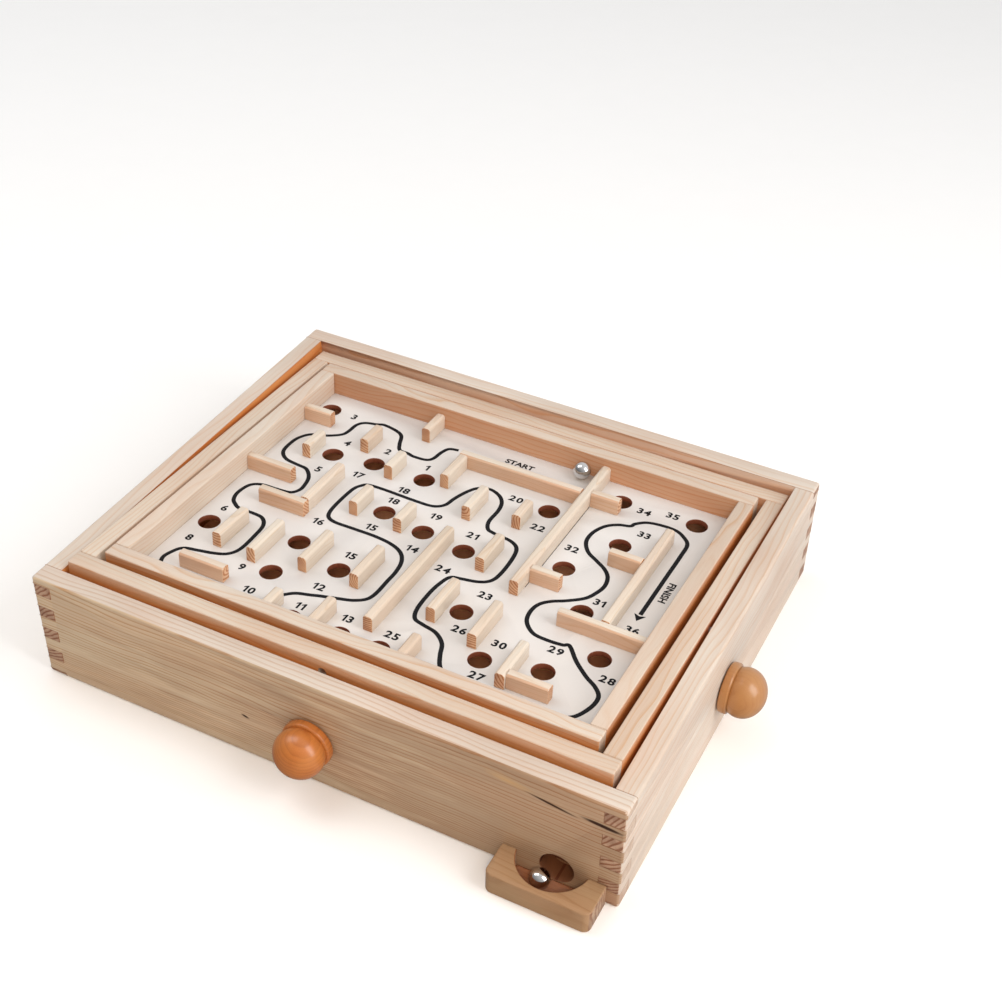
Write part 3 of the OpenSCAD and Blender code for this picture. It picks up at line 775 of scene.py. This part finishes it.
def flat_mesh(name, corners, faces):
    """A flat printed shape that lies just above the board."""
    z = BOARD_TOP + PRINT_LIFT
    mesh = bpy.data.meshes.new(name)
    mesh.from_pydata([(x, y, z) for x, y in corners], [], faces)
    mesh.update()
    piece = bpy.data.objects.new(name, mesh)
    bpy.context.scene.collection.objects.link(piece)
    paint(piece, "print_ink")
    return place(piece, TILT, "board", "printed_board")


def ribbon(name, points, width=PATH_WIDTH):
    """A flat line along the points, in the ink material."""
    line = smooth_line(points)
    corners = []
    for i, p in enumerate(line):
        ahead = (line[min(i + 1, len(line) - 1)] - line[max(i - 1, 0)]).normalized()
        side = Vector((-ahead.y, ahead.x)) * width / 2
        corners += [p + side, p - side]
    faces = [(2 * i, 2 * i + 1, 2 * i + 3, 2 * i + 2) for i in range(len(line) - 1)]
    return flat_mesh(name, corners, faces)


def make_route():
    """The route with its arrow, and the thin line beside the wall at the end of the start lane."""
    ribbon("route_left", ROUTE_LEFT)
    ribbon("route_right", ROUTE_RIGHT)
    # A thin dark line along the right base edge of the wall at the end of the start lane
    ribbon("wall_line_back", [(WALL_LINE, 9), (WALL_LINE, 64)], THIN_LINE)
    ribbon("wall_line_front", [(WALL_LINE, -9.5), (WALL_LINE, -5.5)], THIN_LINE)
    x, y = ARROW_TIP
    head = [(x, y), (x + ARROW_WIDTH / 2, y + ARROW_LENGTH), (x, y + ARROW_NOTCH * ARROW_LENGTH),
            (x - ARROW_WIDTH / 2, y + ARROW_LENGTH)]
    flat_mesh("route_arrow", [Vector(p) * MM for p in head], [(0, 1, 2, 3)])


# The figure one, on a capital height of 1
ONE_OUTLINE = [(0.22, 0.0), (0.42, 0.0), (0.42, 1.0), (0.28, 1.0), (0.0, 0.76), (0.0, 0.58), (0.22, 0.74)]
GLYPH_GAP = 0.13


def glyph(letters):
    """Bold letters as a flat mesh with a capital height of 1. A one has a flag."""
    if letters == "1":
        mesh = bpy.data.meshes.new("one")
        mesh.from_pydata([(x, y, 0) for x, y in ONE_OUTLINE], [], [tuple(range(len(ONE_OUTLINE)))])
        return mesh
    curve = bpy.data.curves.new("letters", "FONT")
    curve.body = letters
    curve.offset = LETTER_BOLD
    curve.resolution_u = 3
    written = bpy.data.objects.new("letters", curve)
    bpy.context.scene.collection.objects.link(written)
    mesh = bpy.data.meshes.new_from_object(written.evaluated_get(bpy.context.evaluated_depsgraph_get()))
    bpy.data.objects.remove(written)
    low, high = extent([v.co for v in mesh.vertices])
    mesh.transform(Matrix.Scale(1 / (high.y - low.y), 4) @ Matrix.Translation((-low.x, -low.y, 0)))
    return mesh


def lettering(name, words, centre, height, turn=0.0):
    """Bold printed letters centred on a point of the board. Numbers are set one digit at a time."""
    bm = bmesh.new()
    reach = 0.0
    for letters in (words if words.isdigit() else [words]):
        mesh = glyph(letters)
        mesh.transform(Matrix.Translation((reach, 0, 0)))
        reach = max(v.co.x for v in mesh.vertices) + GLYPH_GAP
        bm.from_mesh(mesh)
    bmesh.ops.triangulate(bm, faces=bm.faces)
    mesh = bpy.data.meshes.new(name)
    bm.to_mesh(mesh)
    bm.free()
    low, high = extent([v.co for v in mesh.vertices])
    at = Vector((centre[0] * MM, centre[1] * MM, BOARD_TOP + PRINT_LIFT))
    size = Matrix.Diagonal((height * LETTER_STRETCH, height, height, 1.0))
    mesh.transform(Matrix.Translation(at) @ Matrix.Rotation(turn, 4, "Z") @ size
                   @ Matrix.Translation(-(low + high) / 2))
    piece = bpy.data.objects.new(name, mesh)
    bpy.context.scene.collection.objects.link(piece)
    paint(piece, "print_ink")
    return place(piece, TILT, "board", "printed_board")


def make_lettering():
    """The numbers beside the holes, and the two words."""
    for number, places in NUMBERS.items():
        for k, centre in enumerate(places):
            lettering(f"number_{number}_{k + 1}", number, centre, NUMBER_HEIGHT)
    lettering("word_start", "START", START_AT, WORD_HEIGHT)
    lettering("word_finish", "FINISH", FINISH_AT, WORD_HEIGHT, -math.pi / 2)


# Turned and metal pieces

def lathe(name, profile, steps=96):
    """A turned shape around +Z from (radius, height) points, closed where the radius is zero."""
    bm = bmesh.new()
    rings = []
    for radius, height in profile:
        if radius == 0:
            rings.append([bm.verts.new((0, 0, height))])
            continue
        turns = [2 * math.pi * i / steps for i in range(steps)]
        rings.append([bm.verts.new((radius * math.cos(a), radius * math.sin(a), height)) for a in turns])
    for lower, upper in zip(rings, rings[1:]):
        for i in range(steps):
            j = (i + 1) % steps
            if len(lower) == 1:
                bm.faces.new((lower[0], upper[j], upper[i]))
            elif len(upper) == 1:
                bm.faces.new((lower[i], lower[j], upper[0]))
            else:
                bm.faces.new((lower[i], lower[j], upper[j], upper[i]))
    bmesh.ops.recalc_face_normals(bm, faces=bm.faces)
    mesh = bpy.data.meshes.new(name)
    bm.to_mesh(mesh)
    bm.free()
    for polygon in mesh.polygons:
        polygon.use_smooth = True
    piece = bpy.data.objects.new(name, mesh)
    bpy.context.scene.collection.objects.link(piece)
    return piece


def arc(centre_r, centre_h, radius_r, radius_h, start, end, steps):
    """Points on an elliptical arc in the (radius, height) plane; angles in degrees from the radius axis."""
    points = []
    for i in range(steps + 1):
        angle = math.radians(start + (end - start) * i / steps)
        points.append((centre_r + radius_r * math.cos(angle), centre_h + radius_h * math.sin(angle)))
    return points


def knob_profile(collar_r, length):
    """A round knob on a collar, from its back face at height 0 to its end at `length`, with a blind bore."""
    collar_h = 0.36 * collar_r
    ease = 0.10 * collar_r
    groove_r = 0.86 * collar_r
    head_r = 0.975 * collar_r
    head_middle = 0.72 * collar_r
    bore_r = 0.25 * collar_r
    points = [(bore_r, 0.6 * length), (bore_r, 0.0), (collar_r - ease, 0.0)]
    points += arc(collar_r - ease, ease, ease, ease, -90, 0, 5)
    points += arc(collar_r - ease, collar_h - ease, ease, ease, 0, 80, 5)
    points += [(groove_r, collar_h + 0.01 * collar_r)]
    start = -math.degrees(math.acos(groove_r / head_r))
    points += arc(0.0, head_middle, head_r, length - head_middle, start, 84, 30)
    points += [(0.0, length)]
    return points


def make_knob(node, outward):
    """A turned knob in the place of its CAD node, with its end facing outward."""
    low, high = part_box(node)
    across = (high.z - low.z) / 2
    length = abs((high - low).dot(outward))
    base = (low + high) / 2 - outward * length / 2
    piece = lathe(node + "_turned", knob_profile(across, length))
    add_grain(piece, "Z", (0.02 if node == "front_knob" else 0.31, 0.0, 0.0))
    paint(piece, node)
    aim = Vector((0, 0, 1)).rotation_difference(outward).to_matrix().to_4x4()
    place(piece, Matrix.Translation(base) @ aim, NODE_BODY[node], NODE_SLOT[node], node)


def make_metal():
    for node in ("ring_pins", "frame_pins", "ring_eyes", "frame_eyes", "front_shaft", "right_shaft"):
        paint(frame["nodes"][node], "pin_steel")


def make_ball(node):
    """A polished ball, finer than the CAD sphere."""
    low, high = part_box(node)
    radius = (high.x - low.x) / 2
    profile = [(0.0, -radius)]
    profile += arc(0.0, 0.0, radius, radius, -88, 88, 60)
    profile += [(0.0, radius)]
    piece = lathe(node + "_polished", profile)
    paint(piece, "ball_steel")
    turn = Matrix.Rotation(math.radians(37), 4, "X")
    place(piece, Matrix.Translation((low + high) / 2) @ turn, NODE_BODY[node], NODE_SLOT[node], node)


def make_inside():
    """The ball tray, with painted shade in its pocket, and the pieces inside the box."""
    low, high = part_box("ball_tray")

    # Painted shade on the pocket's floor and on its walls that face its middle
    def pocket_shade(point, normal):
        to_middle = Vector(((low.x + high.x) / 2 - point.x, high.y - point.y, 0))
        sunk = normal.z > 0.7 and point.z < high.z - 1.5 * MM
        return 0.9 * (sunk or normal.dot(to_middle) > 0.5 * to_middle.length)

    wood_piece("ball_tray", "tray_wood", "X", (0.5, 0.01, 0.02), TRAY_EASE, TRAY_EASE, every_edge,
               painted_shade_at=pocket_shade)
    for node, along, shift, ease in (("shaft_post", "Z", (0.1, 0.02, 0.0), HIDDEN_EASE),
                                     ("ramp_blocks", "X", (0.7, 0.03, 0.01), HIDDEN_EASE),
                                     ("corner_guide", "Y", (0.9, 0.01, 0.03), GUIDE_EASE)):
        wood_piece(node, "inner_wood_shaded", along, shift, ease, ease, every_edge)
    for node, material in (("base_panel", "base_board"), ("ball_ramp", "ramp_board")):
        paint(frame["nodes"][node], material)


make_panels()
make_frames()
make_walls()
make_board()
make_route()
make_lettering()
make_inside()
make_metal()
make_knob("front_knob", Vector((0, -1, 0)))
make_knob("right_knob", Vector((1, 0, 0)))
make_ball("start_ball")
make_ball("tray_ball")


# Floor, light and camera. The camera stands where the photograph was taken from; angles are in degrees.

CAMERA_AT = Vector((0.2809, -0.5154, 0.5408))
CAMERA_AZIMUTH = 25.927
CAMERA_ELEVATION = 38.34
CAMERA_ROLL = 1.701
LENS = 56.38
SENSOR = 36.0
FLOOR_REACH = 4.0
BRIGHT_SIDE = (0.35, 0.50, 0.45)


def make_floor():
    """A pale matt floor that balls and lacquer don't mirror."""
    t = Tree("studio_floor")
    texture = t.nodes.new("ShaderNodeTexCoord")
    speckle = t.noise(t.scaled(texture.outputs["Object"], (40, 40, 40)), detail=2)
    colour = t.mix(speckle, (0.94, 0.94, 0.94), (0.96, 0.96, 0.96))
    t.finish(colour, 0.8)
    mesh = bpy.data.meshes.new("studio_floor")
    corners = [(x * FLOOR_REACH, y * FLOOR_REACH, 0) for x, y in ((-1, -1), (1, -1), (1, 1), (-1, 1))]
    mesh.from_pydata(corners, [], [(0, 1, 2, 3)])
    floor = bpy.data.objects.new("studio_floor", mesh)
    floor.visible_glossy = False
    bpy.context.scene.collection.objects.link(floor)
    mesh.materials.append(t.material)


def area_light(name, at, size, power, colour=(1, 1, 1)):
    """A soft box aimed at the object."""
    light = bpy.data.lights.new(name, "AREA")
    light.shape = "RECTANGLE"
    light.size, light.size_y = size
    light.energy = power
    light.color = colour
    lamp = bpy.data.objects.new(name, light)
    bpy.context.scene.collection.objects.link(lamp)
    lamp.location = at
    lamp.rotation_euler = (Vector((0, 0, 0)) - Vector(at)).to_track_quat("-Z", "Y").to_euler()
    return lamp


def make_light():
    """A pale studio: the sky is bright above, behind and to the right, and dimmer in front and left."""
    world = bpy.data.worlds.new("studio")
    bpy.context.scene.world = world
    world.use_nodes = True
    nodes, links = world.node_tree.nodes, world.node_tree.links
    direction = nodes.new("ShaderNodeTexCoord")
    lean = nodes.new("ShaderNodeVectorMath")
    lean.operation = "DOT_PRODUCT"
    lean.inputs[1].default_value = BRIGHT_SIDE
    links.new(direction.outputs["Generated"], lean.inputs[0])
    level = nodes.new("ShaderNodeMapRange")
    for name, value in (("From Min", -0.6), ("From Max", 0.6), ("To Min", 0.08), ("To Max", 0.80)):
        level.inputs[name].default_value = value
    links.new(lean.outputs["Value"], level.inputs["Value"])
    links.new(level.outputs["Result"], nodes["Background"].inputs["Strength"])
    nodes["Background"].inputs["Color"].default_value = (1.0, 1.0, 1.0, 1.0)
    area_light("right_box", (1.25, -0.10, 0.85), (0.7, 1.2), 11.5)
    area_light("left_box", (-0.75, -0.10, 1.35), (0.7, 1.2), 6.5)
    fill = area_light("front_fill", CAMERA_AT * 1.5, (0.2, 0.2), 4.2, (1.0, 0.80, 0.60))
    fill.visible_glossy = False


def make_camera():
    """The camera of the photograph, turned to its angles and then rolled."""
    az, el, roll = (math.radians(a) for a in (CAMERA_AZIMUTH, CAMERA_ELEVATION, CAMERA_ROLL))
    back = Vector((math.sin(az) * math.cos(el), -math.cos(az) * math.cos(el), math.sin(el)))
    right = Vector((math.cos(az), math.sin(az), 0))
    up = back.cross(right)
    rolled_right = right * math.cos(roll) + up * math.sin(roll)
    rolled_up = up * math.cos(roll) - right * math.sin(roll)
    camera = bpy.data.objects.new("camera", bpy.data.cameras.new("camera"))
    bpy.context.scene.collection.objects.link(camera)
    turn = Matrix((rolled_right, rolled_up, back)).transposed().to_4x4()
    camera.matrix_world = Matrix.Translation(CAMERA_AT) @ turn
    camera.data.lens = LENS
    camera.data.sensor_width = SENSOR
    camera.data.dof.use_dof = False
    bpy.context.scene.camera = camera


make_floor()
make_light()
make_camera()
bpy.context.scene.view_settings.view_transform = "Standard"

bpy.context.view_layer.update()
